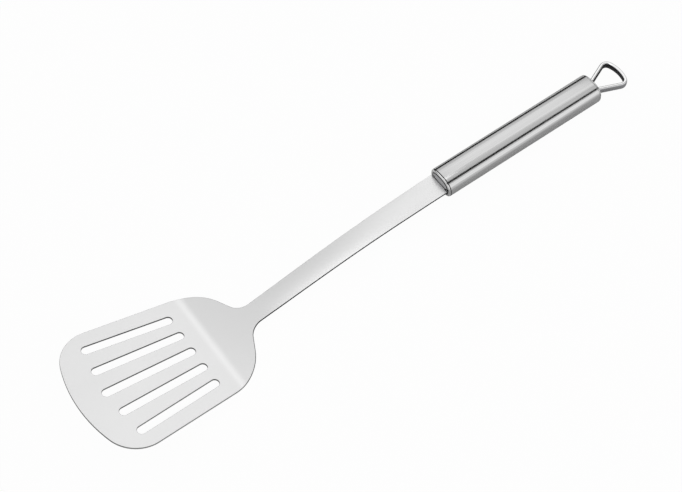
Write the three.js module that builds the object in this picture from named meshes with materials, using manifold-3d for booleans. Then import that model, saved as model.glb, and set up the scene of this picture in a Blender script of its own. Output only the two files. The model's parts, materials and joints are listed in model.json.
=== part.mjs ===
// Slotted kitchen turner in stainless steel, in millimetres, +Z up.
// One bent sheet makes the blade, the shank and the tang. The tang runs through a polished ferrule into
// a hollow oval handle, and an end cap closes the handle and holds the legs of a hanging loop.
// The turner lies as it does on a worktop, on the heel of its blade and the end of its handle.
import * as THREE from "three";
import { mergeVertices } from "three/addons/utils/BufferGeometryUtils.js";
import Module from "manifold-3d";

// Sheet that the blade, the shank and the tang are cut from
const SHEET = 1.2;

// Blade outline, seen square on, with the heel's bend line at x = 0 and the tip towards -x
const BLADE_LENGTH = 81.1;
const BLADE_TIP_WIDTH = 83.5;
const BLADE_ROOT_WIDTH = 67.1;
const TIP_RADIUS = 82;
const TIP_CORNER_RADIUS = 20;

// Slots, fanned out towards the tip, with each pair ending further from the tip than the one inside it
const SLOT_PAIRS = 2;
const SLOT_WIDTH = 5.1;
const SLOT_TIP_MARGIN = 17;
const SLOT_TIP_STEP = 2;
const SLOT_ROOT_MARGIN = 12.85;
const SLOT_TIP_PITCH = 14.3;
const SLOT_ROOT_PITCH = 11.75;

// Shoulders behind the heel, and the shank's width at the neck and at the handle
const SHOULDER_LENGTH = 21.4;
const SHOULDER_ANGLE = 65;
const SHOULDER_RADIUS = 27;
const NECK_RADIUS = 9;
const NECK_WIDTH = 12.4;
const SHANK_WIDTH = 14.9;

// Side profile of the sheet: headings in degrees above the blade, lengths along the sheet
const HEEL_RADIUS = 8;
const HEEL_HEADING = 14.1;
const NECK_LENGTH = 29.6;
const NECK_HEADING = 21.8;
const SHANK_FRONT_LENGTH = 45.8;
const SHANK_HEADING = 20.1;
const SHANK_REAR_LENGTH = 77.9;
const HANDLE_HEADING = 13.1;

// Tang inside the handle
const TANG_WIDTH = 10;
const TANG_LENGTH = 30;
const TANG_CORNER_RADIUS = 2.5;

// Handle tube, a flattened oval whose sides are fuller than an ellipse's
const HANDLE_WIDTH = 17.7;
const HANDLE_THICKNESS = 14;
const HANDLE_FULLNESS = 2.65;
const HANDLE_LENGTH = 107.2;
const HANDLE_WALL = 1.0;

// Ferrule and end cap: each has a domed rim outside the tube and a plug inside it
const RIM_INSET = 0.1;
const FERRULE_RIM = 1.1;
const FERRULE_ROUND = 1.3;
const FERRULE_PLUG = 8;
const CAP_RIM = 1.0;
const CAP_ROUND = 1.2;
const CAP_PLUG = 8;

// Hanging loop: a bar on edge, set below the handle's middle, with two legs that spread to a bowed end
const BAR_WIDTH = 2.3;
const BAR_THICKNESS = 4.4;
const BAR_FULLNESS = 3;
const LEG_SPACING = 5.9;
const LEG_DROP = 0.9;
const LEG_DEPTH = 6;
const LEG_BEND_RADIUS = 6;
const LEG_SPREAD = 23.5;
const LOOP_REACH = 20.2;
const LOOP_BOW_RADIUS = 19.5;
const LOOP_CORNER_RADIUS = 3.4;

// Gap between neighbouring pieces
const CLEARANCE = 0.3;

// Fineness of the facets
const ARC_STEPS = 12;
const DEGREES_PER_FACET = 1.5;
const OVAL_POINTS = 56;
const ROUND_STEPS = 4;
const LOOP_STEPS = 72;
const BAR_POINTS = 16;

const radians = THREE.MathUtils.degToRad;
const vec2 = (x, y) => new THREE.Vector2(x, y);
const polar = (angle) => vec2(Math.cos(angle), Math.sin(angle));
const wasm = await Module();
wasm.setup();

// A closed solid from a geometry
function solidOf(geometry) {
  geometry.deleteAttribute("normal");
  geometry.deleteAttribute("uv");
  const welded = mergeVertices(geometry);
  const vertProperties = new Float32Array(welded.attributes.position.array);
  const triVerts = new Uint32Array(welded.index.array);
  return new wasm.Manifold(new wasm.Mesh({ numProp: 3, vertProperties, triVerts }));
}

// A named steel piece from a solid
function steelPiece(name, solid, color, roughness) {
  const { vertProperties, triVerts } = solid.getMesh();
  const geometry = new THREE.BufferGeometry();
  geometry.setAttribute("position", new THREE.BufferAttribute(new Float32Array(vertProperties), 3));
  geometry.setIndex(new THREE.BufferAttribute(new Uint32Array(triVerts), 1));
  geometry.computeVertexNormals();
  const piece = new THREE.Mesh(geometry, new THREE.MeshStandardMaterial({ color, roughness, metalness: 1 }));
  piece.name = name;
  return piece;
}

// Arc that rounds the corner b between the lines a to b and b to c
function cornerArc(a, b, c, radius) {
  const back = a.clone().sub(b).normalize();
  const onward = c.clone().sub(b).normalize();
  const half = back.angleTo(onward) / 2;
  const toTangent = radius / Math.tan(half);
  const centre = back.clone().add(onward).setLength(radius / Math.sin(half)).add(b);
  const from = back.clone().multiplyScalar(toTangent).add(b).sub(centre).angle();
  const to = onward.clone().multiplyScalar(toTangent).add(b).sub(centre).angle();
  return { centre, radius, from, to, clockwise: onward.cross(back) < 0 };
}

// Centre of the arc that rounds the corner where a line runs into a bow from inside it
function bowCornerCentre(point, direction, inward, bow, radius) {
  const start = inward.clone().multiplyScalar(radius).add(point).sub(bow.centre);
  const along = start.dot(direction);
  const ahead = Math.sqrt(along ** 2 - start.lengthSq() + (bow.radius - radius) ** 2) - along;
  return direction.clone().multiplyScalar(ahead).add(start).add(bow.centre);
}

const drawArc = (path, { centre, radius, from, to, clockwise }) =>
  path.absarc(centre.x, centre.y, radius, from, to, clockwise);

const mirrored = ({ centre, radius, from, to, clockwise }) =>
  ({ centre: vec2(centre.x, -centre.y), radius, from: -to, to: -from, clockwise });

// Where the heel's bend begins, so that its two straight sides would meet on the bend line
const HEEL_START = -HEEL_RADIUS * Math.tan(radians(HEEL_HEADING) / 2);

// Side profile of the sheet's middle from the heel to the handle, as points with headings
function sheetProfile() {
  const stretches = [
    { length: HEEL_RADIUS * radians(HEEL_HEADING), from: 0, to: HEEL_HEADING },
    { length: NECK_LENGTH, from: HEEL_HEADING, to: NECK_HEADING },
    { length: SHANK_FRONT_LENGTH, from: NECK_HEADING, to: SHANK_HEADING },
    { length: SHANK_REAR_LENGTH, from: SHANK_HEADING, to: HANDLE_HEADING },
  ];
  const profile = [{ point: vec2(HEEL_START, 0), heading: 0 }];
  for (const { length, from, to } of stretches) {
    const start = profile.at(-1).point;
    const steps = Math.ceil(Math.abs(to - from) / DEGREES_PER_FACET);
    for (let step = 1; step <= steps; step += 1) {
      const share = step / steps;
      const halfTurn = (radians(to - from) * share) / 2;
      const chord = length * share * (Math.sin(halfTurn) / halfTurn);
      const point = polar(radians(from) + halfTurn).multiplyScalar(chord).add(start);
      profile.push({ point, heading: radians(from) + 2 * halfTurn });
    }
  }
  return profile;
}

// Outline of the sheet seen from above, with its slots
function sheetOutline(handleStart) {
  const handleHeading = radians(HANDLE_HEADING);
  const bow = { centre: vec2(TIP_RADIUS - BLADE_LENGTH, 0), radius: TIP_RADIUS };
  const tip = vec2(-BLADE_LENGTH, -BLADE_TIP_WIDTH / 2);
  const root = vec2(0, -BLADE_ROOT_WIDTH / 2);
  const toTip = tip.clone().sub(root).normalize();
  const inward = vec2(toTip.y, -toTip.x);
  const centre = bowCornerCentre(root, toTip, inward, bow, TIP_CORNER_RADIUS);
  const bowEnd = centre.clone().sub(bow.centre).angle();
  const tipCorner = {
    centre,
    radius: TIP_CORNER_RADIUS,
    from: bowEnd,
    to: inward.clone().negate().angle(),
    clockwise: false,
  };

  const neck = vec2(SHOULDER_LENGTH, -NECK_WIDTH / 2);
  const rise = Math.tan(radians(SHOULDER_ANGLE));
  const flare = toTip.y / toTip.x;
  const shoulderX = (neck.y - root.y - neck.x * rise) / (flare - rise);
  const shoulder = vec2(shoulderX, root.y + flare * shoulderX);
  const shankEnd = handleStart.x - (SHEET / 2) * Math.sin(handleHeading) - CLEARANCE;
  const shankCorner = vec2(shankEnd, -SHANK_WIDTH / 2);
  const tangEnd = handleStart.x + TANG_LENGTH * Math.cos(handleHeading);
  const tangRoot = vec2(shankEnd, -TANG_WIDTH / 2);
  const tangCorner = vec2(tangEnd, -TANG_WIDTH / 2);

  const nearArcs = [tipCorner, cornerArc(root, shoulder, neck, SHOULDER_RADIUS)];
  nearArcs.push(cornerArc(shoulder, neck, shankCorner, NECK_RADIUS));
  const tangArc = cornerArc(tangRoot, tangCorner, vec2(tangEnd, 0), TANG_CORNER_RADIUS);
  const outline = new THREE.Shape();
  outline.absarc(bow.centre.x, bow.centre.y, bow.radius, -bowEnd, bowEnd, false);
  nearArcs.forEach((arc) => drawArc(outline, arc));
  outline.lineTo(shankCorner.x, shankCorner.y);
  outline.lineTo(tangRoot.x, tangRoot.y);
  drawArc(outline, tangArc);
  drawArc(outline, mirrored(tangArc));
  outline.lineTo(tangRoot.x, -tangRoot.y);
  outline.lineTo(shankCorner.x, -shankCorner.y);
  nearArcs.reverse().forEach((arc) => drawArc(outline, mirrored(arc)));
  outline.closePath();
  outline.holes = slots();
  return outline;
}

// Round-ended slots that fan out from the root towards the tip
function slots() {
  const paths = [];
  for (let place = -SLOT_PAIRS; place <= SLOT_PAIRS; place += 1) {
    const tipX = SLOT_TIP_MARGIN - BLADE_LENGTH + SLOT_TIP_STEP * Math.abs(place);
    const tip = vec2(tipX, SLOT_TIP_PITCH * place);
    const root = vec2(-SLOT_ROOT_MARGIN, SLOT_ROOT_PITCH * place);
    const side = root.clone().sub(tip).angle() + Math.PI / 2;
    const path = new THREE.Path();
    path.absarc(tip.x, tip.y, SLOT_WIDTH / 2, side, side + Math.PI, false);
    path.absarc(root.x, root.y, SLOT_WIDTH / 2, side + Math.PI, side + 2 * Math.PI, false);
    path.closePath();
    paths.push(path);
  }
  return paths;
}

// Blade, shank and tang: a bent strip, cut to the outline
function bladeSheet(profile) {
  const handleStart = profile.at(-1);
  const tipEnd = { point: vec2(-BLADE_LENGTH - SHEET, 0), heading: 0 };
  const tangEnd = polar(handleStart.heading).multiplyScalar(TANG_LENGTH + SHEET).add(handleStart.point);
  const stations = [tipEnd, ...profile, { point: tangEnd, heading: handleStart.heading }];
  const face = (offset) =>
    stations.map(({ point, heading }) => polar(heading + Math.PI / 2).multiplyScalar(offset).add(point));
  const strip = new THREE.Shape([...face(-SHEET / 2), ...face(SHEET / 2).reverse()]);
  const width = BLADE_TIP_WIDTH + SHEET;
  const bent = new THREE.ExtrudeGeometry(strip, { depth: width, bevelEnabled: false });
  bent.rotateX(Math.PI / 2).translate(0, width / 2, 0);

  const cut = { depth: tangEnd.y + 4 * SHEET, bevelEnabled: false, curveSegments: ARC_STEPS / 2 };
  const plan = new THREE.ExtrudeGeometry(sheetOutline(handleStart.point), cut);
  plan.translate(0, 0, -2 * SHEET);
  return solidOf(bent).intersect(solidOf(plan));
}

// Oval outline that is fuller than an ellipse
function oval(width, thickness, fullness, count) {
  const points = [];
  for (let step = 0; step < count; step += 1) {
    const { x, y } = polar((2 * Math.PI * step) / count);
    const full = (value) => Math.sign(value) * Math.abs(value) ** (2 / fullness);
    points.push(vec2((width / 2) * full(x), (thickness / 2) * full(y)));
  }
  return points;
}

const handleOval = (inset) =>
  oval(HANDLE_WIDTH - 2 * inset, HANDLE_THICKNESS - 2 * inset, HANDLE_FULLNESS, OVAL_POINTS);

const barOval = (grow) => oval(BAR_THICKNESS + 2 * grow, BAR_WIDTH + 2 * grow, BAR_FULLNESS, BAR_POINTS);

// Oval rim with a domed edge, from its front face at z = 0 to its flat back at z = height
function domedRim(height, round) {
  const edge = Math.min(round, height);
  const disc = new THREE.ExtrudeGeometry(new THREE.Shape(handleOval(RIM_INSET)), {
    depth: 2 * (height - edge) + CLEARANCE,
    bevelThickness: edge,
    bevelSize: round,
    bevelOffset: -round,
    bevelSegments: ROUND_STEPS,
  });
  const front = new THREE.BoxGeometry(2 * HANDLE_WIDTH, 2 * HANDLE_WIDTH, 2 * height);
  return solidOf(disc.translate(0, 0, edge)).intersect(solidOf(front));
}

// Oval plug that fits in the tube, from z = 0 up
function ovalPlug(height) {
  const section = new THREE.Shape(handleOval(HANDLE_WALL + CLEARANCE));
  return new THREE.ExtrudeGeometry(section, { depth: height, bevelEnabled: false });
}

// The handle's pieces stand along z, from the ferrule's front face at z = 0
const TUBE_START = FERRULE_RIM + CLEARANCE;
const TUBE_END = TUBE_START + HANDLE_LENGTH;
const CAP_FACE = TUBE_END + CLEARANCE + CAP_RIM;

function ferrule() {
  const plug = solidOf(ovalPlug(FERRULE_PLUG + CLEARANCE + FERRULE_RIM / 2).translate(0, 0, FERRULE_RIM / 2));
  const through = 4 * (FERRULE_RIM + FERRULE_PLUG);
  const slot = new THREE.BoxGeometry(TANG_WIDTH + 2 * CLEARANCE, SHEET + 2 * CLEARANCE, through);
  return domedRim(FERRULE_RIM, FERRULE_ROUND).add(plug).subtract(solidOf(slot));
}

function handleTube() {
  const section = new THREE.Shape(handleOval(0));
  section.holes.push(new THREE.Path(handleOval(HANDLE_WALL)));
  const tube = new THREE.ExtrudeGeometry(section, { depth: HANDLE_LENGTH, bevelEnabled: false });
  return solidOf(tube.translate(0, 0, TUBE_START));
}

function endCap() {
  const rim = domedRim(CAP_RIM, CAP_ROUND).rotate([180, 0, 0]).translate([0, 0, CAP_FACE]);
  const plug = ovalPlug(CAP_PLUG + CLEARANCE + CAP_RIM / 2).translate(0, 0, TUBE_END - CAP_PLUG);
  let cap = rim.add(solidOf(plug));
  for (const side of [-1, 1]) {
    const depth = 2 * (LEG_DEPTH + CLEARANCE);
    const section = new THREE.Shape(barOval(CLEARANCE));
    const bore = new THREE.ExtrudeGeometry(section, { depth, bevelEnabled: false });
    bore.rotateZ(Math.PI / 2).translate((side * LEG_SPACING) / 2, -LEG_DROP, CAP_FACE - depth / 2);
    cap = cap.subtract(solidOf(bore));
  }
  return cap;
}

// A flat path that stands in the plane of the handle's width
class LoopCurve extends THREE.Curve {
  constructor(path) {
    super();
    this.path = path;
  }

  getPoint(share, target = new THREE.Vector3()) {
    const { x, y } = this.path.getPoint(share);
    return target.set(x, 0, y);
  }
}

function hangingLoop() {
  const spread = radians(LEG_SPREAD);
  const bendX = LEG_SPACING / 2 + LEG_BEND_RADIUS;
  const bow = { centre: vec2(0, LOOP_REACH - LOOP_BOW_RADIUS), radius: LOOP_BOW_RADIUS };
  const legEnd = polar(Math.PI - spread).multiplyScalar(LEG_BEND_RADIUS).add(vec2(bendX, 0));
  const inward = polar(Math.PI - spread);
  const corner = bowCornerCentre(legEnd, polar(Math.PI / 2 - spread), inward, bow, LOOP_CORNER_RADIUS);
  const bowEnd = corner.clone().sub(bow.centre).angle();

  const path = new THREE.Path().moveTo(LEG_SPACING / 2, -LEG_DEPTH);
  path.absarc(bendX, 0, LEG_BEND_RADIUS, Math.PI, Math.PI - spread, true);
  path.absarc(corner.x, corner.y, LOOP_CORNER_RADIUS, -spread, bowEnd, false);
  path.absarc(bow.centre.x, bow.centre.y, bow.radius, bowEnd, Math.PI - bowEnd, false);
  path.absarc(-corner.x, corner.y, LOOP_CORNER_RADIUS, Math.PI - bowEnd, Math.PI + spread, false);
  path.absarc(-bendX, 0, LEG_BEND_RADIUS, spread, 0, true);
  path.lineTo(-LEG_SPACING / 2, -LEG_DEPTH);

  const bar = new THREE.ExtrudeGeometry(new THREE.Shape(barOval(0)), {
    extrudePath: new LoopCurve(path),
    steps: LOOP_STEPS,
  });
  return solidOf(bar.translate(0, -LEG_DROP, CAP_FACE));
}

// Handle pieces in one group, turned to the end of the shank
function handleGroup(profile) {
  const { point, heading } = profile.at(-1);
  const across = new THREE.Vector3(0, 1, 0);
  const up = new THREE.Vector3(-Math.sin(heading), 0, Math.cos(heading));
  const along = new THREE.Vector3(Math.cos(heading), 0, Math.sin(heading));
  const group = new THREE.Group();
  group.quaternion.setFromRotationMatrix(new THREE.Matrix4().makeBasis(across, up, along));
  group.position.set(point.x, 0, point.y);
  group.add(steelPiece("ferrule", ferrule(), 0xdadada, 0.12));
  group.add(steelPiece("handle_tube", handleTube(), 0xc9c8c6, 0.38));
  group.add(steelPiece("end_cap", endCap(), 0xd2d1cf, 0.2));
  group.add(steelPiece("hanging_loop", hangingLoop(), 0xdadada, 0.1));
  return group;
}

// Angle that brings the heel and the lower edge of the handle's end down to one level
function restTilt(profile) {
  const { point, heading } = profile.at(-1);
  const edge = polar(heading).multiplyScalar(TUBE_END).add(point);
  edge.add(polar(heading - Math.PI / 2).multiplyScalar(HANDLE_THICKNESS / 2));
  const fromHeelCentre = edge.sub(vec2(HEEL_START, HEEL_RADIUS));
  return fromHeelCentre.angle() + Math.asin((HEEL_RADIUS + SHEET / 2) / fromHeelCentre.length());
}

const profile = sheetProfile();
const turner = new THREE.Group();
turner.add(steelPiece("blade_and_shank", bladeSheet(profile), 0xd6d5d2, 0.34));
turner.add(handleGroup(profile));
turner.rotation.y = restTilt(profile);
const box = new THREE.Box3().setFromObject(turner, true);
turner.position.set(-(box.min.x + box.max.x) / 2, -(box.min.y + box.max.y) / 2, -box.min.z);

export default turner;
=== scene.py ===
"""Slotted steel turner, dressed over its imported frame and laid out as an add-on"""
import json
import math

import bmesh
import bpy
from bpy.props import FloatProperty, FloatVectorProperty, IntProperty, PointerProperty
from mathutils import Matrix, Quaternion, Vector


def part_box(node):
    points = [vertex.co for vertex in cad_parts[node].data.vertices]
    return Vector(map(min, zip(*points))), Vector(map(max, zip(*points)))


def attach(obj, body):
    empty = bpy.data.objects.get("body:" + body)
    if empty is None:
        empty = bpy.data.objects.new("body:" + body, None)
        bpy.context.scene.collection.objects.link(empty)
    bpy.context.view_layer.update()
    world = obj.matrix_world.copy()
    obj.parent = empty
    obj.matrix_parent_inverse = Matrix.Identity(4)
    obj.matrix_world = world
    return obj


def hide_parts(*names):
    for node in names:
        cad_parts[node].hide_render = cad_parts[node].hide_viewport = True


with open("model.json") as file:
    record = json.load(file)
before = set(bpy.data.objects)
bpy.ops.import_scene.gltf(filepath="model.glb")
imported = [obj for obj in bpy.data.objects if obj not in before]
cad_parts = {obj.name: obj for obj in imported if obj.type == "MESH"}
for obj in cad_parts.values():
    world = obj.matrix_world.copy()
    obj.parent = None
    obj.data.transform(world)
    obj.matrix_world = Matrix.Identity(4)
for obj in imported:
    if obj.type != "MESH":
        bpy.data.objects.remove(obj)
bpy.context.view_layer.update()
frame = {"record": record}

bl_info = {
    "name": "Slotted turner",
    "version": (1, 0, 0),
    "blender": (4, 5, 0),
    "location": "3D View > Sidebar > Turner",
    "description": "Builds a slotted steel turner, its finishes and its stage",
    "category": "Object",
}

MM = 0.001
BODY = "root"


def mount_axis(name):
    """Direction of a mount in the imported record"""
    return Vector(next(m["axis"] for m in frame["record"]["mounts"] if m["name"] == name))


BLADE_UP = -mount_axis("blade_underside")
HANDLE_UP = mount_axis("hook_in_loop")
TUBE_MIDDLE = sum(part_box("handle_tube"), Vector()) / 2

# Fineness of the meshes
ARC_STEP = math.radians(4)
BOW_STEP = math.radians(2)
TIP_STEP = math.radians(1)
SLOT_POINTS = 48
HANDLE_POINTS = 96
BAR_POINTS = 40
EDGE_STEPS = 4
DOME_STEPS = 6
TUBE_EDGE_STEPS = 3
HEEL_STEPS = 10
CROWN_STRIPS = 6
BEND_SPACING = 2.5 * MM
CUT_REACH = 1e-7
SHARP_ANGLE = math.radians(50)

# Faces this far past a line still count as on it
MARGIN = 0.01 * MM

# Share of the loop's reach from the cap to the middle of its eye
EYE_SHARE = 0.62

# Rise below which a face of the bar is a wall, and turn above which that wall faces the loop's eye
WALL_RISE, EYE_TURN = 0.6, 0.5

# Sockets of a colour mix node: its two colours and its result
MIX_FIRST, MIX_SECOND, MIX_RESULT = 6, 7, 2

# Lamps, each with its place, the point it aims at, its width and its height in metres
LAMPS = {
    "overhead": ((0.57, 0.52, 0.8), (0.57, 0.52, 0), 0.76, 0.6),
    "strip": ((0.35, -0.8, 0.34), (0.35, 0, 0.1), 0.66, 1.6),
    "front": ((-0.55, 0.46, 0.65), (0.05, 0, 0.01), 0.4, 0.4),
    "near": ((0.04, 0.16, 0.8), (0.04, 0.16, 0), 0.3, 0.16),
}

# Black cards that draw the handle's dark lines: width, depth, angle over +Y in degrees, distance
CARDS = {
    "near_card": (1.6, 0.17, 114.5, 0.5),
    "far_card": (4, 0.44, 12.5, 1),
}
CARD_X = 0.3
FLOOR_SIZE = 8


# Values that a user would change

def length(name, description, millimetres):
    """A length in the panel, given in millimetres"""
    return FloatProperty(
        name=name, description=description, default=millimetres * MM, unit="LENGTH", precision=5
    )


def angle(name, description, degrees):
    """An angle in the panel, given in degrees"""
    return FloatProperty(
        name=name, description=description, default=math.radians(degrees), subtype="ANGLE"
    )


def lamp_power(name, description, watts):
    """A lamp's power in the panel"""
    return FloatProperty(name=name, description=description, default=watts, unit="POWER")


def plain_number(name, description, value):
    """A plain number in the panel"""
    return FloatProperty(name=name, description=description, default=value)


def linear(hex_colour):
    """Linear RGB of an sRGB hex colour"""
    channels = (int(hex_colour[place:place + 2], 16) / 255 for place in (1, 3, 5))
    return tuple(c / 12.92 if c <= 0.04045 else ((c + 0.055) / 1.055) ** 2.4 for c in channels)


def colour(name, description, hex_colour):
    """A colour in the panel, given as sRGB hex"""
    return FloatVectorProperty(
        name=name, description=description, default=linear(hex_colour), subtype="COLOR", min=0, max=1
    )


class SheetSizes(bpy.types.PropertyGroup):
    """Blade, shank and tang, cut from one sheet and bent"""

    thickness: length("Sheet", "Thickness of the sheet", 1.14)
    edge_round: length("Edge round", "Radius of the deburred edges", 0.15)
    blade_length: length("Blade length", "From the bend line to the tip", 81.1)
    tip_width: length("Tip width", "Width of the blade at its tip, corners left square", 83.5)
    root_width: length("Root width", "Width of the blade at the bend line", 67.1)
    tip_radius: length("Tip bow", "Radius of the bowed tip", 82)
    tip_corner_radius: length("Tip corners", "Radius of the tip's corners", 20)
    slot_pairs: IntProperty(
        name="Slot pairs", description="Slots on each side of the middle one", default=2
    )
    slot_width: length("Slot width", "Width of a slot", 5.1)
    slot_tip_margin: length("Slot tip margin", "From the tip to the middle slot's end centre", 17)
    slot_tip_step: length("Slot tip step", "How much further back each pair ends", 2)
    slot_root_margin: length("Slot root margin", "From the bend line to the slots' end centres", 12.85)
    slot_tip_pitch: length("Slot tip pitch", "Spacing of the slots towards the tip", 14.3)
    slot_root_pitch: length("Slot root pitch", "Spacing of the slots towards the bend", 11.75)
    shoulder_length: length("Shoulder length", "From the bend line to the neck", 21.4)
    shoulder_angle: angle("Shoulder angle", "Slope of the shoulders", 65)
    shoulder_radius: length("Shoulder radius", "Rounding of the shoulders", 27)
    neck_radius: length("Neck radius", "Hollow where the shoulders meet the shank", 9)
    neck_width: length("Neck width", "Width of the shank at the neck", 12.4)
    shank_width: length("Shank width", "Width of the shank at the handle", 14.9)
    heel_radius: length("Heel radius", "Radius of the bend", 24)
    heel_heading: angle("Heel heading", "Slope behind the bend, over the blade", 14.1)
    neck_length: length("Neck length", "Length of the bent neck", 25.09)
    neck_heading: angle("Neck heading", "Slope at the neck's end", 21.8)
    shank_front_length: length("Front shank", "Length of the front of the shank", 48.34)
    shank_heading: angle("Shank heading", "Slope at the middle of the shank", 20.1)
    shank_rear_length: length("Rear shank", "Length of the rear of the shank", 77.9)
    handle_heading: angle("Handle heading", "Slope of the handle, over the blade", 13.1)
    shank_crown: length("Shank crown", "How far the shank's edges drop below its middle", 0.45)
    crown_fade: length("Crown fade", "Length over which the crown grows and dies away", 25)
    shank_gap: length("Shank gap", "Gap between the shank's end and the ferrule", 0.5)
    tang_width: length("Tang width", "Width of the tang inside the handle", 10)
    tang_length: length("Tang length", "Length of the tang inside the handle", 30)


class HandleSizes(bpy.types.PropertyGroup):
    """Oval tube with a domed ferrule and end cap"""

    width: length("Width", "Width of the tube", 17.7)
    thickness: length("Thickness", "Thickness of the tube", 14)
    fullness: plain_number("Fullness", "2 is an ellipse, more is fuller", 2.65)
    tube_length: length("Tube length", "Length of the tube", 107.2)
    tube_edge: length("Tube edge", "Rounding of the tube's cut ends", 0.25)
    rim_inset: length("Rim inset", "How far the rims lie inside the tube's surface", 0.1)
    ferrule_rim: length("Ferrule rim", "Depth of the ferrule in front of the tube", 1.1)
    ferrule_round: length("Ferrule dome", "How far the ferrule's edge curves in", 1.3)
    step: length("Step", "Width and height of the step round the ferrule's face", 0.35)
    slot_gap: length("Slot gap", "Gap over the tang in the ferrule's slot", 0.7)
    cap_rim: length("Cap rim", "Depth of the cap behind the tube", 1.0)
    cap_round: length("Cap dome", "How far the cap's edge curves in", 1.2)
    cap_joint: length("Cap joint", "Gap left between the tube and the cap's rim", 0.08)
    plug: length("Plug", "Depth of the plugs inside the tube", 8)
    wall: length("Wall", "Wall of the tube", 1.0)
    seam: length("Seam", "Gap between neighbouring pieces", 0.3)


class LoopSizes(bpy.types.PropertyGroup):
    """Hanging loop, a bar on edge"""

    bar_width: length("Bar width", "Width of the bar in the loop's plane", 2.3)
    bar_thickness: length("Bar thickness", "Height of the bar across the loop's plane", 4.4)
    fullness: plain_number("Fullness", "2 is an ellipse, more is fuller", 3)
    leg_spacing: length("Leg spacing", "Between the legs at the cap", 5.9)
    leg_drop: length("Leg drop", "How far the loop lies below the handle's middle", 0.9)
    leg_depth: length("Leg depth", "Length of the legs inside the cap", 6)
    leg_bend_radius: length("Leg bend", "Radius where the legs begin to spread", 6)
    leg_spread: angle("Leg spread", "Slope of each leg from the handle's line", 23.5)
    reach: length("Reach", "From the cap to the middle of the bow", 20.18)
    bow_radius: length("Bow radius", "Radius of the bowed end", 19.5)
    corner_radius: length("Corner radius", "Radius where the legs meet the bow", 3.4)


class SteelColours(bpy.types.PropertyGroup):
    """Colours of the steel finishes"""

    sheet: colour("Satin sheet", "Satin face of the blade and shank", "#dedede")
    # Lighter colour painted along the bend, standing in for its highlight
    burnish: colour("Painted bend highlight", "Lighter colour painted along the bend as its highlight", "#e6e6e6")
    # Painted shade on the sheet's edge walls: near black along the shank, paler grey round the blade
    edge: colour("Shaded shank edge", "Painted shade on the shank's cut edge", "#1b1b1c")
    ground: colour("Shaded blade edge", "Painted shade on the edges of the blade and its slots", "#868686")
    tube: colour("Brushed tube", "Brushed surface of the handle", "#d2d2d2")
    bright: colour("Polished steel", "Polished rim of the ferrule and top of the loop", "#e4e4e4")
    # Painted shade: mid grey for the ferrule's face and the loop's outer sides
    drawn: colour("Grey painted shade", "Ferrule's face and outer sides of the loop, painted grey as shade", "#a6a6a8")
    # Painted shade: dark grey for walls, recesses and joints
    dull: colour("Dark painted shade", "Walls, recesses and joints painted dark as shade", "#3e3e40")


class StageSettings(bpy.types.PropertyGroup):
    """Camera, floor and light"""

    target: FloatVectorProperty(
        name="Target", description="Point on the floor in the middle of the picture",
        default=(-0.0132, 0.0064, 0), subtype="XYZ", unit="LENGTH"
    )
    azimuth: angle("Azimuth", "Direction of the camera from the target, from +X", -117.81)
    elevation: angle("Elevation", "Height of the camera over the floor", 58.655)
    roll: angle("Roll", "Turn of the camera about its line of sight", -8.816)
    distance: length("Distance", "From the camera to the target", 830)
    lens: plain_number("Lens", "Focal length in millimetres", 79.18)
    floor: colour("Floor", "Colour of the floor", "#c6c6c6")
    card: colour("Cards", "Colour of the black cards", "#101010")
    room: plain_number("Room", "Strength of the even light", 0.84)
    overhead: lamp_power("Overhead light", "Power of the softbox overhead", 0.59)
    strip: lamp_power("Strip light", "Power of the low strip light", 1.5)
    front: lamp_power("Front light", "Power of the lamp that lights the ferrule's face", 0.2)
    near: lamp_power("Near light", "Power of the lamp over the shank", 0.19)


# Nodes

def node(tree, kind, inputs=None, **settings):
    """A node with its settings, whose inputs are values, sockets or nodes that feed them"""
    made = tree.nodes.new(kind)
    for name, value in settings.items():
        setattr(made, name, value)
    for key, value in (inputs or {}).items():
        if isinstance(value, bpy.types.Node):
            value = value.outputs[0]
        if isinstance(value, bpy.types.NodeSocket):
            tree.links.new(value, made.inputs[key])
        else:
            made.inputs[key].default_value = value
    return made


# Finishes

def steel(name, base):
    """Bare steel, with its node tree, its shader and its object coordinates"""
    material = bpy.data.materials.new(name)
    material.use_nodes = True
    tree = material.node_tree
    shader = tree.nodes["Principled BSDF"]
    shader.inputs["Base Color"].default_value = (*base, 1)
    shader.inputs["Metallic"].default_value = 1
    return material, tree, shader, node(tree, "ShaderNodeTexCoord").outputs["Object"]


def vary_roughness(tree, shader, place, patch, detail, low, high):
    """Let the roughness wander between two values in patches, and return their noise"""
    noise = node(tree, "ShaderNodeTexNoise", {"Vector": place, "Scale": 1 / patch, "Detail": detail})
    sheen = node(tree, "ShaderNodeMapRange", {"Value": noise, "To Min": low, "To Max": high})
    tree.links.new(sheen.outputs[0], shader.inputs["Roughness"])
    return noise


def satin_sheet(colours, bend_x):
    """Cold-rolled sheet, tumbled to a satin: an even pale sheen, with a highlight painted along the bend
    as a lighter line
    """
    material, tree, shader, place = steel("satin_stainless_sheet", colours.sheet)
    cloud_mm, line_mm, ahead_mm = 22, 3.2, 0.6
    vary_roughness(tree, shader, place, cloud_mm * MM, detail=3, low=0.31, high=0.37)
    # Painted highlight: the colour lightens in a band just ahead of the bend line
    along = node(tree, "ShaderNodeSeparateXYZ", {0: place})
    past = node(tree, "ShaderNodeMath", {0: along, 1: bend_x - ahead_mm * MM}, operation="SUBTRACT")
    away = node(tree, "ShaderNodeMath", {0: past}, operation="ABSOLUTE")
    rubbed = node(
        tree, "ShaderNodeMapRange",
        {"Value": away, "From Max": line_mm * MM, "To Min": 1.0, "To Max": 0.0},
        interpolation_type="SMOOTHSTEP",
    )
    face = node(
        tree, "ShaderNodeMix",
        {0: rubbed, MIX_FIRST: (*colours.sheet, 1), MIX_SECOND: (*colours.burnish, 1)}, data_type="RGBA",
    )
    tree.links.new(face.outputs[MIX_RESULT], shader.inputs["Base Color"])
    return material


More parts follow.
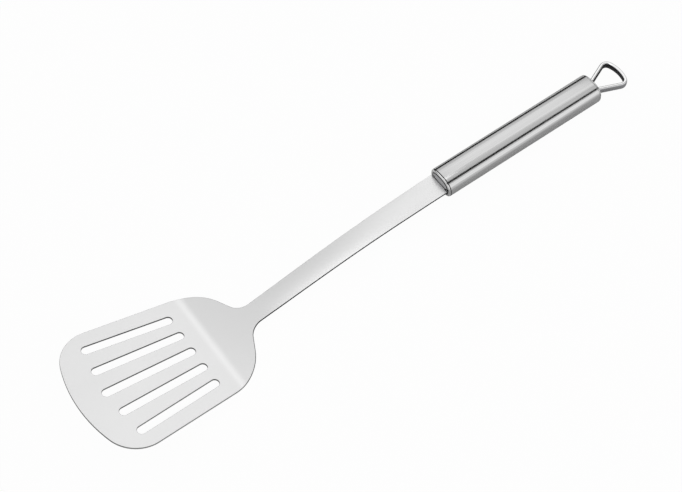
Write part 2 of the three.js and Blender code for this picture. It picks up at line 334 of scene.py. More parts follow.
def sheared_edge(colours, bend_x):
    """Sheet's edge walls with painted shade: near black along the shank, paler grey round blade and slots
    """
    material, tree, shader, place = steel("sheared_steel_edge", colours.edge)
    fade_mm, streak_mm = 15, 0.6
    vary_roughness(tree, shader, place, streak_mm * MM, detail=2, low=0.35, high=0.55)
    # Painted shade: the edge colour goes from pale grey at the bend to near black along the shank
    along = node(tree, "ShaderNodeSeparateXYZ", {0: place})
    behind = node(
        tree, "ShaderNodeMapRange",
        {"Value": along, "From Min": bend_x, "From Max": bend_x + fade_mm * MM},
    )
    cut = node(
        tree, "ShaderNodeMix",
        {0: behind, MIX_FIRST: (*colours.ground, 1), MIX_SECOND: (*colours.edge, 1)}, data_type="RGBA",
    )
    tree.links.new(cut.outputs[MIX_RESULT], shader.inputs["Base Color"])
    return material


def brushed_stainless_tube(colours):
    """Drawn tube, finely brushed along its length: soft reflections with faint lines in them"""
    material, tree, shader, place = steel("brushed_stainless_tube", colours.tube)
    # Real brush lines are about 0.05 mm apart, made coarser so that they show
    line_mm, run_mm, line_shade = 0.7, 120, 0.72
    turn = (0, math.atan2(HANDLE_UP.x, HANDLE_UP.z), 0)
    grain = (run_mm * MM, line_mm * MM, line_mm * MM)
    along = node(
        tree, "ShaderNodeMapping",
        {"Vector": place, "Rotation": turn, "Scale": grain}, vector_type="TEXTURE",
    )
    lines = vary_roughness(tree, shader, along, patch=1, detail=3, low=0.13, high=0.21)
    shade = [part * line_shade for part in colours.tube]
    streaks = node(
        tree, "ShaderNodeMix",
        {0: lines, MIX_FIRST: (*shade, 1), MIX_SECOND: (*colours.tube, 1)}, data_type="RGBA",
    )
    tree.links.new(streaks.outputs[MIX_RESULT], shader.inputs["Base Color"])
    return material


def polished_stainless(colours):
    """Buffed stainless: a near mirror, with a faint haze from the wheel"""
    material, tree, shader, place = steel("polished_stainless", colours.bright)
    haze_mm = 12
    vary_roughness(tree, shader, place, haze_mm * MM, detail=2, low=0.08, high=0.12)
    return material


def drawn_stainless(colours):
    """Painted shade: mid grey and half rough steel on faces in partial shade, so that they stand off the
    bright polish
    """
    material, tree, shader, place = steel("drawn_stainless", colours.drawn)
    mark_mm = 2
    vary_roughness(tree, shader, place, mark_mm * MM, detail=2, low=0.2, high=0.3)
    return material


def pickled_stainless(colours):
    """Painted shade: dark grey, rough steel on walls, recesses and joints that lie in shade"""
    material, tree, shader, place = steel("pickled_stainless", colours.dull)
    stain_mm = 1.5
    vary_roughness(tree, shader, place, stain_mm * MM, detail=3, low=0.32, high=0.48)
    return material


def shared(make, colours):
    """A finish that pieces share, made when it is first asked for"""
    return bpy.data.materials.get(make.__name__) or make(colours)


# Shapes

def polar(turn, reach=1.0):
    """Point of the plane at that angle and distance"""
    return Vector((math.cos(turn), math.sin(turn))) * reach


def arc(centre, radius, start, end, step=ARC_STEP):
    """Points along an arc, both ends included"""
    count = max(2, math.ceil(abs(end - start) / step))
    return [centre + polar(start + (end - start) * k / count, radius) for k in range(count + 1)]


def heading(direction):
    """Angle of a direction in the plane"""
    return math.atan2(direction.y, direction.x)


def corner(a, b, c, radius):
    """Arc that rounds the corner b between the lines a to b and b to c"""
    back, onward = (a - b).normalized(), (c - b).normalized()
    half = back.angle(onward) / 2
    centre = b + (back + onward).normalized() * (radius / math.sin(half))
    start = heading(b + back * (radius / math.tan(half)) - centre)
    sweep = math.pi - 2 * half
    return arc(centre, radius, start, start + math.copysign(sweep, back.cross(onward) * -1))


def bow_corner(point, direction, inward, bow_centre, bow_radius, radius):
    """Centre of the arc that rounds the corner where a line runs into a bow from inside it"""
    start = point + inward * radius - bow_centre
    along = start.dot(direction)
    ahead = math.sqrt(along ** 2 - start.length_squared + (bow_radius - radius) ** 2) - along
    return bow_centre + start + direction * ahead


class SideProfile:
    """Side view of the sheet's middle, from the blade to the handle"""

    def __init__(self, sizes):
        headings = (0, sizes.heel_heading, sizes.neck_heading, sizes.shank_heading, sizes.handle_heading)
        lengths = (
            sizes.heel_radius * sizes.heel_heading, sizes.neck_length,
            sizes.shank_front_length, sizes.shank_rear_length,
        )
        self.start = Vector((-sizes.heel_radius * math.tan(sizes.heel_heading / 2), 0))
        self.arcs = []
        point = self.start
        for run, before, after in zip(lengths, headings, headings[1:]):
            radius = run / (after - before)
            self.arcs.append((point, before, radius))
            chord = Vector((math.sin(after) - math.sin(before), math.cos(before) - math.cos(after)))
            point = point + chord * radius
        self.end, self.slope = point, headings[-1]
        self.neck = sizes.shoulder_length
        self.crown, self.fade, self.half = sizes.shank_crown, sizes.crown_fade, sizes.shank_width / 2

    def at(self, x):
        """Height and slope of the sheet's middle over a point of the plan"""
        if x <= self.start.x:
            return 0.0, 0.0
        if x >= self.end.x:
            return self.end.y + (x - self.end.x) * math.tan(self.slope), self.slope
        point, before, radius = [run for run in self.arcs if run[0].x <= x][-1]
        slope = math.asin(math.sin(before) + (x - point.x) / radius)
        return point.y + radius * (math.cos(before) - math.cos(slope)), slope

    def across(self, x, y):
        """Drop of the crowned shank beside its middle line, and its slope there"""
        shares = [min(max(run / self.fade, 0), 1) for run in (x - self.neck, self.end.x - x)]
        crown = self.crown * math.prod(share * share * (3 - 2 * share) for share in shares)
        return crown * (y / self.half) ** 2, 2 * crown * y / self.half ** 2

    def stations(self):
        """Places along the plan where the sheet is cut so that it can bend"""
        whole, heel = self.end.x - self.start.x, self.arcs[1][0].x - self.start.x
        runs = ((whole, math.ceil(whole / BEND_SPACING)), (heel, HEEL_STEPS))
        places = [self.start.x + run * k / steps for run, steps in runs for k in range(steps + 1)]
        return sorted({round(x, 6) for x in places})


class HandlePlaces:
    """Places along the handle's axis, from the ferrule's face to the cap's"""

    def __init__(self, sizes):
        self.start = sizes.ferrule_rim + sizes.seam
        self.middle = self.start + sizes.tube_length / 2
        self.end = self.start + sizes.tube_length
        self.face = self.end + sizes.seam + sizes.cap_rim
        # Mean half width, by which insets become shares of the section
        self.half = (sizes.width + sizes.thickness) / 4
        self.plug = 1 - (sizes.wall + sizes.seam) / self.half


def row_matrix(up, point):
    """Matrix that turns the z axis to a direction and brings a point to the tube's middle"""
    turn = Matrix((Vector((up.z, 0, -up.x)), Vector((0, 1, 0)), up)).transposed().to_4x4()
    return Matrix.Translation(TUBE_MIDDLE - turn @ point) @ turn


def blade_to_row(profile, handle):
    """Matrix from the blade's frame, with the bend line at x = 0, to the resting turner's"""
    middle = profile.end + polar(profile.slope, HandlePlaces(handle).middle)
    return row_matrix(BLADE_UP, Vector((middle.x, 0, middle.y)))


def handle_to_row(handle):
    """Matrix from the handle's frame, with the ferrule's face at x = 0, to the resting turner's"""
    return row_matrix(HANDLE_UP, Vector((HandlePlaces(handle).middle, 0, 0)))


def link(name, data):
    """An object at the origin that holds the data"""
    made = bpy.data.objects.new(name, data)
    bpy.context.scene.collection.objects.link(made)
    return made


def set_input(modifier, name, value):
    """Set a named input of a geometry nodes modifier"""
    items = modifier.node_group.interface.items_tree
    modifier[next(i.identifier for i in items if i.name == name and i.in_out == "INPUT")] = value


def evaluated(host):
    """Plain mesh of an object as its modifiers leave it"""
    graph = bpy.context.evaluated_depsgraph_get()
    return bpy.data.meshes.new_from_object(host.evaluated_get(graph))


def realise(host, tree, inputs):
    """Plain mesh of what a tree makes of an object, which is then removed"""
    modifier = host.modifiers.new(tree.name, "NODES")
    modifier.node_group = tree
    for name, value in inputs.items():
        set_input(modifier, name, value)
    mesh = evaluated(host)
    host.modifiers.remove(modifier)
    bpy.data.objects.remove(host)
    return mesh


def geometry_tree(name, inputs):
    """An empty geometry nodes tree with named inputs, and their sockets in it"""
    tree = bpy.data.node_groups.new(name, "GeometryNodeTree")
    tree.is_modifier = True
    tree.interface.new_socket("Geometry", in_out="INPUT", socket_type="NodeSocketGeometry")
    for label, kind in inputs.items():
        tree.interface.new_socket(label, in_out="INPUT", socket_type=kind)
    tree.interface.new_socket("Geometry", in_out="OUTPUT", socket_type="NodeSocketGeometry")
    return tree, node(tree, "NodeGroupInput").outputs


def close_tree(tree, geometry, material):
    """End a tree in real, painted geometry"""
    real = node(tree, "GeometryNodeRealizeInstances", {"Geometry": geometry})
    painted = node(tree, "GeometryNodeSetMaterial", {"Geometry": real, "Material": material})
    node(tree, "NodeGroupOutput", {"Geometry": painted})


def slot_fan_tree():
    """Round-ended slots that fan out from the root towards the tip, as flat faces"""
    lengths = ("Width", "Tip", "Tip step", "Tip pitch", "Root", "Root pitch")
    kinds = dict.fromkeys(lengths, "NodeSocketFloat")
    kinds |= {"Pairs": "NodeSocketInt", "Points": "NodeSocketInt", "Material": "NodeSocketMaterial"}
    tree, given = geometry_tree("Slot fan", kinds)
    count = node(tree, "ShaderNodeMath", {0: given["Pairs"], 1: 2.0, 2: 1.0}, operation="MULTIPLY_ADD")
    line = node(tree, "GeometryNodeMeshLine", {"Count": count, "Offset": (0, 0, 0)})
    ring = node(tree, "GeometryNodeCurvePrimitiveCircle", {"Resolution": given["Points"], "Radius": 1.0})
    rings = node(tree, "GeometryNodeInstanceOnPoints", {"Points": line, "Instance": ring})
    real = node(tree, "GeometryNodeRealizeInstances", {"Geometry": rings})

    # Number of the slot that a point belongs to, counted from the middle one
    index = node(tree, "GeometryNodeInputIndex")
    ratio = node(tree, "ShaderNodeMath", {0: index, 1: given["Points"]}, operation="DIVIDE")
    number = node(tree, "ShaderNodeMath", {0: ratio}, operation="FLOOR")
    place = node(tree, "ShaderNodeMath", {0: number, 1: given["Pairs"]}, operation="SUBTRACT")
    from_middle = node(tree, "ShaderNodeMath", {0: place}, operation="ABSOLUTE")

    # Centres of the slot's round ends, and its direction
    tip_x = node(
        tree, "ShaderNodeMath",
        {0: from_middle, 1: given["Tip step"], 2: given["Tip"]}, operation="MULTIPLY_ADD",
    )
    tip_y = node(tree, "ShaderNodeMath", {0: place, 1: given["Tip pitch"]}, operation="MULTIPLY")
    root_y = node(tree, "ShaderNodeMath", {0: place, 1: given["Root pitch"]}, operation="MULTIPLY")
    tip = node(tree, "ShaderNodeCombineXYZ", {"X": tip_x, "Y": tip_y})
    root = node(tree, "ShaderNodeCombineXYZ", {"X": given["Root"], "Y": root_y})
    run = node(tree, "ShaderNodeVectorMath", {0: root, 1: tip}, operation="SUBTRACT")
    turn = node(tree, "FunctionNodeAlignRotationToVector", {"Vector": run}, axis="X", pivot_axis="Z")

    # Each ring's right half goes to the root and its left half to the tip
    point = node(tree, "GeometryNodeInputPosition")
    across = node(tree, "ShaderNodeSeparateXYZ", {0: point})
    at_root = node(tree, "ShaderNodeMath", {0: across, 1: 0.0}, operation="GREATER_THAN")
    centre = node(tree, "ShaderNodeVectorMath", {0: run, 1: at_root, 2: tip}, operation="MULTIPLY_ADD")
    turned = node(tree, "FunctionNodeRotateVector", {"Vector": point, "Rotation": turn})
    radius = node(tree, "ShaderNodeMath", {0: given["Width"], 1: 2.0}, operation="DIVIDE")
    spot = node(tree, "ShaderNodeVectorMath", {0: turned, 1: radius, 2: centre}, operation="MULTIPLY_ADD")
    outlines = node(tree, "GeometryNodeSetPosition", {"Geometry": real, "Position": spot})
    faces = node(tree, "GeometryNodeFillCurve", {"Curve": outlines}, mode="NGONS")
    close_tree(tree, faces, given["Material"])
    return tree


def oval_sweep_tree():
    """An oval, fuller than an ellipse, swept along a path whose radius scales it"""
    kinds = dict.fromkeys(("Across", "Up", "Fullness"), "NodeSocketFloat")
    kinds |= {"Points": "NodeSocketInt", "Material": "NodeSocketMaterial"}
    tree, given = geometry_tree("Oval sweep", kinds)
    ring = node(tree, "GeometryNodeCurvePrimitiveCircle", {"Resolution": given["Points"], "Radius": 1.0})
    point = node(tree, "GeometryNodeInputPosition")
    side = node(tree, "ShaderNodeVectorMath", {0: point}, operation="SIGN")
    reach = node(tree, "ShaderNodeVectorMath", {0: point}, operation="ABSOLUTE")
    power = node(tree, "ShaderNodeMath", {0: 2.0, 1: given["Fullness"]}, operation="DIVIDE")
    full = node(tree, "ShaderNodeVectorMath", {0: reach, 1: power}, operation="POWER")
    signed = node(tree, "ShaderNodeVectorMath", {0: full, 1: side}, operation="MULTIPLY")
    size = node(tree, "ShaderNodeCombineXYZ", {"X": given["Across"], "Y": given["Up"]})
    half = node(tree, "ShaderNodeVectorMath", {0: size, "Scale": 0.5}, operation="SCALE")
    spot = node(tree, "ShaderNodeVectorMath", {0: signed, 1: half}, operation="MULTIPLY")
    oval = node(tree, "GeometryNodeSetPosition", {"Geometry": ring, "Position": spot})
    upright = node(tree, "GeometryNodeSetCurveNormal", {"Curve": given["Geometry"]}, mode="Z_UP")
    share = node(tree, "GeometryNodeInputRadius")
    bar = node(
        tree, "GeometryNodeCurveToMesh",
        {"Curve": upright, "Profile Curve": oval, "Scale": share, "Fill Caps": True},
    )
    smooth = node(tree, "GeometryNodeSetShadeSmooth", {"Geometry": bar})
    close_tree(tree, smooth, given["Material"])
    return tree


def swept(host, across, up, fullness, points, material):
    """Mesh of an oval swept along a path object"""
    tree = bpy.data.node_groups.get("Oval sweep") or oval_sweep_tree()
    inputs = {"Across": across, "Up": up, "Fullness": fullness, "Points": points, "Material": material}
    return realise(host, tree, inputs)


def path_object(name, points, shares):
    """A path through points in space, with a share of the full section at each"""
    curve = bpy.data.curves.new(name, "CURVE")
    curve.dimensions = "3D"
    spline = curve.splines.new("POLY")
    spline.points.add(len(points) - 1)
    for spot, point, share in zip(spline.points, points, shares):
        spot.co = (*point, 1)
        spot.radius = share
    return link(name, curve)


def finish_piece(name, mesh, matrix, node_name):
    """Put a finished piece in the place of a CAD node"""
    mesh.transform(matrix)
    piece = link(name, mesh)
    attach(piece, BODY)
    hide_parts(node_name)


# Blade and shank

def sheet_outline(sizes, profile):
    """Outline of the sheet seen from above, anticlockwise, with the bend line at x = 0"""
    bow_centre = Vector((sizes.tip_radius - sizes.blade_length, 0))
    tip = Vector((-sizes.blade_length, -sizes.tip_width / 2))
    root = Vector((0, -sizes.root_width / 2))
    to_tip = (tip - root).normalized()
    inward = Vector((to_tip.y, -to_tip.x))
    tip_corner = bow_corner(root, to_tip, inward, bow_centre, sizes.tip_radius, sizes.tip_corner_radius)
    bow_end = heading(tip_corner - bow_centre) % (2 * math.pi)
    side = heading(-inward) % (2 * math.pi)

    neck = Vector((sizes.shoulder_length, -sizes.neck_width / 2))
    rise, flare = math.tan(sizes.shoulder_angle), to_tip.y / to_tip.x
    shoulder_x = (neck.y - root.y - neck.x * rise) / (flare - rise)
    shoulder = Vector((shoulder_x, root.y + flare * shoulder_x))
    shank_end = profile.end.x - sizes.shank_gap
    shank_corner = Vector((shank_end, -sizes.shank_width / 2))
    tang_end = profile.end.x + sizes.tang_length * math.cos(profile.slope)

    near = arc(bow_centre, sizes.tip_radius, math.pi, bow_end, TIP_STEP)
    near += arc(tip_corner, sizes.tip_corner_radius, bow_end, side)[1:]
    near += corner(root, shoulder, neck, sizes.shoulder_radius)
    near += corner(shoulder, neck, shank_corner, sizes.neck_radius)
    near += [shank_corner, Vector((shank_end, -sizes.tang_width / 2))]
    near += [Vector((tang_end, -sizes.tang_width / 2))]
    far = [Vector((point.x, -point.y)) for point in reversed(near[1:])]
    return near + far


def slot_outlines(sizes, material):
    """Outline of each slot, clockwise"""
    host = link("slots", bpy.data.meshes.new("slots"))
    mesh = realise(host, slot_fan_tree(), {
        "Width": sizes.slot_width,
        "Tip": sizes.slot_tip_margin - sizes.blade_length,
        "Tip step": sizes.slot_tip_step,
        "Tip pitch": sizes.slot_tip_pitch,
        "Root": -sizes.slot_root_margin,
        "Root pitch": sizes.slot_root_pitch,
        "Pairs": sizes.slot_pairs,
        "Points": SLOT_POINTS,
        "Material": material,
    })
    loops = []
    for face in mesh.polygons:
        loop = [mesh.vertices[v].co.xy for v in face.vertices]
        loops.append(loop[::-1] if face.normal.z > 0 else loop)
    return loops


def outward(loop):
    """Direction out of the steel at each point of an outline"""
    found = []
    for before, point, after in zip(loop[-1:] + loop[:-1], loop, loop[1:] + loop[:1]):
        along = (point - before).normalized() + (after - point).normalized()
        found.append(Vector((along.y, -along.x)).normalized())
    return found


def flat_sheet(loops, sizes):
    """Flat sheet with deburred edges, whose walls and rounded edges take the second material"""
    shape = bmesh.new()
    half, radius = sizes.thickness / 2, sizes.edge_round
    turns = [math.pi / 2 * (k / EDGE_STEPS) for k in range(EDGE_STEPS + 1)]
    rings = [(turn - math.pi / 2, -half + radius) for turn in turns]
    rings += [(turn, half - radius) for turn in turns]
    normals = shape.verts.layers.float_vector.new("flat_normal")
    edges = {0: [], len(rings) - 1: []}
    for loop in loops:
        out = outward(loop)
        levels = []
        for turn, height in rings:
            level = []
            for point, way in zip(loop, out):
                spot = point + way * (radius * (math.cos(turn) - 1))
                vert = shape.verts.new((*spot, height + radius * math.sin(turn)))
                vert[normals] = (*(way * math.cos(turn)), math.sin(turn))
                level.append(vert)
            levels.append(level)
        for lower, upper in zip(levels, levels[1:]):
            for a, b, c, d in zip(lower, lower[1:] + lower[:1], upper[1:] + upper[:1], upper):
                shape.faces.new((a, b, c, d)).material_index = 1
        for number in edges:
            ring = levels[number]
            edges[number] += [shape.edges.get(pair) for pair in zip(ring, ring[1:] + ring[:1])]
    for number, way in ((0, -1), (len(rings) - 1, 1)):
        filled = bmesh.ops.triangle_fill(shape, edges=edges[number], use_beauty=True, normal=(0, 0, way))
        for face in (item for item in filled["geom"] if isinstance(item, bmesh.types.BMFace)):
            face.normal_update()
            if face.normal.z * way < 0:
                face.normal_flip()
    return shape


def bend(shape, profile):
    """Bend a flat sheet along the side profile and return the surface's direction at each point"""
    for x in profile.stations():
        bmesh.ops.bisect_plane(
            shape, geom=shape.verts[:] + shape.edges[:] + shape.faces[:],
            plane_co=(x, 0, 0), plane_no=(1, 0, 0), dist=CUT_REACH,
        )
    for strip in range(1, CROWN_STRIPS):
        y = profile.half * (2 * strip / CROWN_STRIPS - 1)
        faces = [
            face for face in shape.faces if profile.neck < face.calc_center_median().x < profile.end.x
        ]
        edges = {edge for face in faces for edge in face.edges}
        verts = {vert for face in faces for vert in face.verts}
        bmesh.ops.bisect_plane(
            shape, geom=[*verts, *edges, *faces],
            plane_co=(0, y, 0), plane_no=(0, 1, 0), dist=CUT_REACH,
        )
    normals = shape.verts.layers.float_vector["flat_normal"]
    directions = []
    for vert in shape.verts:
        x, y, height = vert.co
        middle, slope = profile.at(x)
        drop, lean = profile.across(x, y)
        rise = height - drop
        vert.co = (x - rise * math.sin(slope), y, middle + rise * math.cos(slope))
        flat = vert[normals]
        tilted = polar(slope, flat.x) + polar(slope + math.pi / 2, flat.z)
        directions.append(Vector((tilted.x, flat.y + flat.z * lean, tilted.y)).normalized())
    return directions


class TURNER_OT_blade(bpy.types.Operator):
    """Make the slotted blade, shank and tang from one bent sheet"""

    bl_idname = "turner.blade"
    bl_label = "Blade and shank"

    def execute(self, context):
        scene = context.scene
        sizes = scene.turner_sheet
        profile = SideProfile(sizes)
        matrix = blade_to_row(profile, scene.turner_handle)
        bend_x = matrix.translation.x
        satin = satin_sheet(scene.turner_colours, bend_x)
        shape = flat_sheet([sheet_outline(sizes, profile)] + slot_outlines(sizes, satin), sizes)
        directions = bend(shape, profile)
        mesh = bpy.data.meshes.new("slotted_blade")
        shape.to_mesh(mesh)
        shape.free()
        mesh.materials.append(satin)
        mesh.materials.append(sheared_edge(scene.turner_colours, bend_x))
        mesh.shade_smooth()
        mesh.normals_split_custom_set_from_vertices(directions)
        finish_piece("slotted_blade", mesh, matrix, "blade_and_shank")
        return {"FINISHED"}


# Handle

def dome(face, side, inset, depth, half, steps=DOME_STEPS):
    """Rings of a domed edge from face to side: place along the axis and share of the section"""
    rings = []
    for step in range(steps + 1):
        turn = math.pi / 2 * step / steps
        place = face + (side - face) * (1 - math.cos(turn))
        rings.append((place, 1 - (inset + depth * (1 - math.sin(turn))) / half))
    return rings


def oval_bar(name, rings, sizes, material):
    """Mesh of oval rings along the handle's axis"""
    host = path_object(name, [(place, 0, 0) for place, share in rings], [share for place, share in rings])
    return swept(host, sizes.width, sizes.thickness, sizes.fullness, HANDLE_POINTS, material)


def bored(mesh, cutter):
    """Mesh with another one cut out of it"""
    host, tool = link("host", mesh), link("tool", cutter)
    modifier = host.modifiers.new("bore", "BOOLEAN")
    modifier.operation = "DIFFERENCE"
    modifier.solver = "EXACT"
    modifier.object = tool
    cut = evaluated(host)
    for made in (host, tool):
        bpy.data.objects.remove(made)
    cut.set_sharp_from_angle(angle=SHARP_ANGLE)
    return cut


def box_mesh(name, low, high):
    """Mesh of a box between two corners"""
    shape = bmesh.new()
    bmesh.ops.create_cube(shape, size=1)
    for vert in shape.verts:
        vert.co = [a + (b - a) * (part + 0.5) for a, b, part in zip(low, high, vert.co)]
    mesh = bpy.data.meshes.new(name)
    shape.to_mesh(mesh)
    shape.free()
    return mesh


def ferrule_mesh(sizes, sheet, colours):
    """Ferrule with a stepped face, a domed rim, a plug inside the tube and a slot for the tang"""
    places = HandlePlaces(sizes)
    rim = dome(sizes.step, sizes.ferrule_rim, sizes.rim_inset, sizes.ferrule_round, places.half)
    plate = rim[0][1] - sizes.step / places.half
    rings = [(0, plate), (sizes.step, plate), *rim]
    rings += [(sizes.ferrule_rim, places.plug), (places.start + sizes.plug, places.plug)]
    slot_y, slot_z = sheet.tang_width / 2 + sizes.seam, sheet.thickness / 2 + sizes.seam
    slot_top = sheet.thickness / 2 + sizes.slot_gap
    slot = box_mesh("slot", (-places.face, -slot_y, -slot_z), (places.face, slot_y, slot_top))
    mesh = bored(oval_bar("ferrule", rings, sizes, shared(polished_stainless, colours)), slot)
    for make in (pickled_stainless, drawn_stainless):
        mesh.materials.append(shared(make, colours))
    # Painted shade: the ferrule's face grey, its step and the slot's walls dark
    for polygon in mesh.polygons:
        x, y, z = polygon.center
        in_slot = abs(y) < slot_y + MARGIN and -slot_z - MARGIN < z < slot_top + MARGIN
        if x < MARGIN:
            polygon.material_index = 2
        elif x < sizes.step + MARGIN or in_slot:
            polygon.material_index = 1
    return mesh


def tube_mesh(sizes, colours):
    """Hollow tube with rounded ends, its front edge painted dark as shade at the joint"""
    places, edge = HandlePlaces(sizes), sizes.tube_edge
    brushed = shared(brushed_stainless_tube, colours)
    rings = dome(places.start, places.start + edge, 0, edge, places.half, TUBE_EDGE_STEPS)
    rings += dome(places.end, places.end - edge, 0, edge, places.half, TUBE_EDGE_STEPS)[::-1]
    inside = [(place, 1 - sizes.wall / places.half) for place in (0, places.face)]
    mesh = bored(oval_bar("tube", rings, sizes, brushed), oval_bar("inside", inside, sizes, brushed))
    mesh.materials.append(shared(pickled_stainless, colours))
    # Painted shade: the front edge dark along the joint with the ferrule
    for polygon in mesh.polygons:
        polygon.material_index = 1 if polygon.center.x < places.start + edge else 0
    return mesh


def cap_mesh(sizes, loop, colours):
    """Domed cap with a plug inside the tube and a bore for each leg of the loop"""
    places = HandlePlaces(sizes)
    brushed = shared(brushed_stainless_tube, colours)
    rim = places.end + sizes.cap_joint
    rings = [(places.end - sizes.plug, places.plug), (rim, places.plug)]
    rings += [(rim, 1 - sizes.rim_inset / places.half)]
    side = places.face - sizes.cap_rim
    rings += dome(places.face, side, sizes.rim_inset, sizes.cap_round, places.half)[::-1]
    return bored(oval_bar("cap", rings, sizes, brushed), loop_bar(loop, sizes, sizes.seam, brushed))


class TURNER_OT_handle(bpy.types.Operator):
    """Make the oval handle tube with its domed ferrule and end cap"""

    bl_idname = "turner.handle"
    bl_label = "Handle"

    def execute(self, context):
        scene = context.scene
        sizes, colours = scene.turner_handle, scene.turner_colours
        matrix = handle_to_row(sizes)
        ferrule = ferrule_mesh(sizes, scene.turner_sheet, colours)
        finish_piece("domed_ferrule", ferrule, matrix, "ferrule")
        tube = tube_mesh(sizes, colours)
        finish_piece("oval_tube", tube, matrix, "handle_tube")
        cap = cap_mesh(sizes, scene.turner_loop, colours)
        finish_piece("domed_cap", cap, matrix, "end_cap")
        return {"FINISHED"}


# Hanging loop

def loop_path(sizes):
    """Middle line of the bar from one leg's end to the other's, with the cap's face at x = 0"""
    spread = sizes.leg_spread
    bend_y = sizes.leg_spacing / 2 + sizes.leg_bend_radius
    bow_centre = Vector((sizes.reach - sizes.bow_radius, 0))
    bend_centre = Vector((0, bend_y))
    leg_end = bend_centre + polar(-math.pi / 2 + spread, sizes.leg_bend_radius)
    onward, inward = polar(spread), polar(spread - math.pi / 2)
    corner_centre = bow_corner(leg_end, onward, inward, bow_centre, sizes.bow_radius, sizes.corner_radius)
    bow_end = heading(corner_centre - bow_centre)
    half = [Vector((-sizes.leg_depth, sizes.leg_spacing / 2))]
    half += arc(bend_centre, sizes.leg_bend_radius, -math.pi / 2, spread - math.pi / 2)
    half += arc(corner_centre, sizes.corner_radius, spread + math.pi / 2, bow_end)
    half += arc(bow_centre, sizes.bow_radius, bow_end, 0, BOW_STEP)[1:]
    return half + [Vector((point.x, -point.y)) for point in reversed(half[:-1])]


def loop_bar(sizes, handle, grow, material):
    """Mesh of the loop's bar, or of the space that it takes with a gap round it"""
    face = HandlePlaces(handle).face
    path = loop_path(sizes)
    path[0].x -= grow
    path[-1].x -= grow
    points = [(point.x + face, point.y, -sizes.leg_drop) for point in path]
    host = path_object("loop", points, [1] * len(points))
    across, up = sizes.bar_width + 2 * grow, sizes.bar_thickness + 2 * grow
    return swept(host, across, up, sizes.fullness, BAR_POINTS, material)


class TURNER_OT_loop(bpy.types.Operator):
    """Make the hanging loop from a bar on edge"""

    bl_idname = "turner.loop"
    bl_label = "Hanging loop"

    def execute(self, context):
        scene = context.scene
        sizes, handle, colours = scene.turner_loop, scene.turner_handle, scene.turner_colours
        mesh = loop_bar(sizes, handle, 0, shared(polished_stainless, colours))
        for make in (pickled_stainless, drawn_stainless):
            mesh.materials.append(shared(make, colours))
        mesh.set_sharp_from_angle(angle=SHARP_ANGLE)
        # Painted shade: walls that face the eye dark, outer walls grey, the top left bright
        eye = Vector((HandlePlaces(handle).face + EYE_SHARE * sizes.reach, 0, -sizes.leg_drop))
        for polygon in mesh.polygons:
            turned = (eye - polygon.center).normalized().dot(polygon.normal)
            if abs(polygon.normal.z) < WALL_RISE:
                polygon.material_index = 1 if turned > EYE_TURN else 2
        finish_piece("loop_bar", mesh, handle_to_row(handle), "hanging_loop")
        return {"FINISHED"}


# Stage

def floor_finish(settings):
    """Matt white floor, seen by the camera and the steel as a white ground with a soft shadow, and by the
    steel with a painted shadow band along the turner
    """
    material = bpy.data.materials.new("white_floor")
    material.use_nodes = True
    tree = material.node_tree
    tree.nodes.clear()
    matt = node(tree, "ShaderNodeBsdfDiffuse", {"Color": (*settings.floor, 1)})
    white = node(tree, "ShaderNodeEmission", {"Strength": 1.0})
    ray = node(tree, "ShaderNodeLightPath").outputs
    mirrored = node(
        tree, "ShaderNodeMath",
        {0: ray["Is Glossy Ray"], 1: ray["Is Transmission Ray"]}, operation="MAXIMUM",
    )
    # The camera sees nearly all of the white; the steel sees less of it in a painted shadow band along
    # the turner, off to its far side
    shade_middle_mm, shade_mm, clear_mm = 25, 42, 78
    camera_share, mirrored_share = 0.97, 0.75
    place = node(tree, "ShaderNodeTexCoord").outputs["Object"]
    across = node(tree, "ShaderNodeSeparateXYZ", {0: place}).outputs["Y"]
    beside = node(tree, "ShaderNodeMath", {0: across, 1: shade_middle_mm * MM}, operation="SUBTRACT")
    away = node(tree, "ShaderNodeMath", {0: beside}, operation="ABSOLUTE")
    clear = node(
        tree, "ShaderNodeMapRange",
        {"Value": away, "From Min": shade_mm * MM, "From Max": clear_mm * MM, "To Max": mirrored_share},
        interpolation_type="SMOOTHSTEP",
    )
    glow = node(tree, "ShaderNodeMath", {0: mirrored, 1: clear}, operation="MULTIPLY")
    share = node(
        tree, "ShaderNodeMath",
        {0: ray["Is Camera Ray"], 1: camera_share, 2: glow}, operation="MULTIPLY_ADD",
    )
    ground = node(tree, "ShaderNodeMixShader", {0: share, 1: matt, 2: white})
    node(tree, "ShaderNodeOutputMaterial", {"Surface": ground})
    return material


def room_light(settings):
    """Even pale room, white where the camera looks past the floor"""
    world = bpy.data.worlds.new("room")
    world.use_nodes = True
    tree = world.node_tree
    ray = node(tree, "ShaderNodeLightPath").outputs
    light = node(tree, "ShaderNodeMath", {0: ray["Is Camera Ray"], 1: settings.room}, operation="MAXIMUM")
    background = tree.nodes["Background"]
    background.inputs["Color"].default_value = (1, 1, 1, 1)
    tree.links.new(light.outputs[0], background.inputs["Strength"])
    return world


def area_lamp(name, place, aim, width, height, watts):
    """A rectangular lamp that aims at a point"""
    lamp = bpy.data.lights.new(name, "AREA")
    lamp.shape = "RECTANGLE"
    lamp.size, lamp.size_y = width, height
    lamp.energy = watts
    made = link(name, lamp)
    made.location = place
    made.rotation_euler = (Vector(aim) - Vector(place)).to_track_quat("-Z", "X").to_euler()


def flat_card(name, width, depth, material):
    """A stage card in its own plane"""
    mesh = bpy.data.meshes.new(name)
    corners = [(x * width / 2, y * depth / 2, 0) for x, y in ((-1, -1), (1, -1), (1, 1), (-1, 1))]
    mesh.from_pydata(corners, [], [(0, 1, 2, 3)])
    mesh.materials.append(material)
    made = link(name, mesh)
    return made


def black_matt(settings):
    """Black flocked card: nearly no light comes back, so steel that mirrors it shows a dark line"""
    material = bpy.data.materials.new("black_card")
    material.use_nodes = True
    shader = material.node_tree.nodes["Principled BSDF"]
    shader.inputs["Base Color"].default_value = (*settings.card, 1)
    shader.inputs["Roughness"].default_value = 1
    shader.inputs["Specular IOR Level"].default_value = 0
    return material


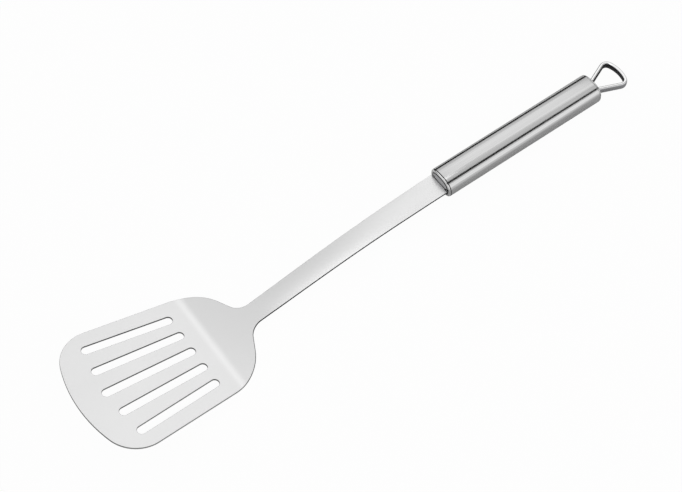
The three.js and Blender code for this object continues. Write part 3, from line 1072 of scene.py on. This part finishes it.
def edge_card(name, width, depth, turn, reach, material):
    """A card that faces the handle's line from an angle over +Y, seen only by the steel"""
    card = flat_card(name, width, depth, material)
    card.location = (CARD_X, *polar(turn, reach))
    card.rotation_euler = (turn - math.pi / 2, 0, 0)
    card.visible_camera = card.visible_shadow = card.visible_diffuse = False


class TURNER_OT_stage(bpy.types.Operator):
    """Set the camera, a white floor and soft studio light"""

    bl_idname = "turner.stage"
    bl_label = "Stage"

    def execute(self, context):
        scene = context.scene
        settings = scene.turner_stage
        scene.view_settings.view_transform = "Standard"

        lens = bpy.data.cameras.new("camera")
        lens.lens = settings.lens
        camera = link("camera", lens)
        level = polar(settings.azimuth, math.cos(settings.elevation))
        back = Vector((*level, math.sin(settings.elevation)))
        camera.location = Vector(settings.target) + back * settings.distance
        aim = (-back).to_track_quat("-Z", "Y")
        camera.rotation_euler = (aim @ Quaternion((0, 0, 1), settings.roll)).to_euler()
        scene.camera = camera

        flat_card("floor", FLOOR_SIZE, FLOOR_SIZE, floor_finish(settings))
        scene.world = room_light(settings)
        for name, (place, target, width, height) in LAMPS.items():
            area_lamp(name, place, target, width, height, getattr(settings, name))
        black = black_matt(settings)
        for name, (width, depth, degrees, reach) in CARDS.items():
            edge_card(name, width, depth, math.radians(degrees), reach, black)
        return {"FINISHED"}


class TURNER_PT_panel(bpy.types.Panel):
    """Turner's pieces and sizes in the sidebar"""

    bl_idname = "TURNER_PT_panel"
    bl_label = "Slotted turner"
    bl_space_type = "VIEW_3D"
    bl_region_type = "UI"
    bl_category = "Turner"

    def draw(self, context):
        for operator in OPERATORS:
            self.layout.operator(operator.bl_idname)
        for name in GROUPS:
            box = self.layout.box()
            group = getattr(context.scene, name)
            for key in group.__annotations__:
                box.prop(group, key)


GROUPS = {
    "turner_sheet": SheetSizes,
    "turner_handle": HandleSizes,
    "turner_loop": LoopSizes,
    "turner_colours": SteelColours,
    "turner_stage": StageSettings,
}
OPERATORS = (TURNER_OT_stage, TURNER_OT_blade, TURNER_OT_handle, TURNER_OT_loop)


def register():
    """Register the classes and the scene's values"""
    for name, group in GROUPS.items():
        bpy.utils.register_class(group)
        setattr(bpy.types.Scene, name, PointerProperty(type=group))
    for item in (*OPERATORS, TURNER_PT_panel):
        bpy.utils.register_class(item)


def unregister():
    """Take back what register did"""
    for item in (TURNER_PT_panel, *reversed(OPERATORS)):
        bpy.utils.unregister_class(item)
    for name, group in reversed(GROUPS.items()):
        delattr(bpy.types.Scene, name)
        bpy.utils.unregister_class(group)


def main():
    """Build the stage and the turner"""
    register()
    bpy.ops.turner.stage()
    bpy.ops.turner.blade()
    bpy.ops.turner.handle()
    bpy.ops.turner.loop()


if __name__ == "__main__":
    main()
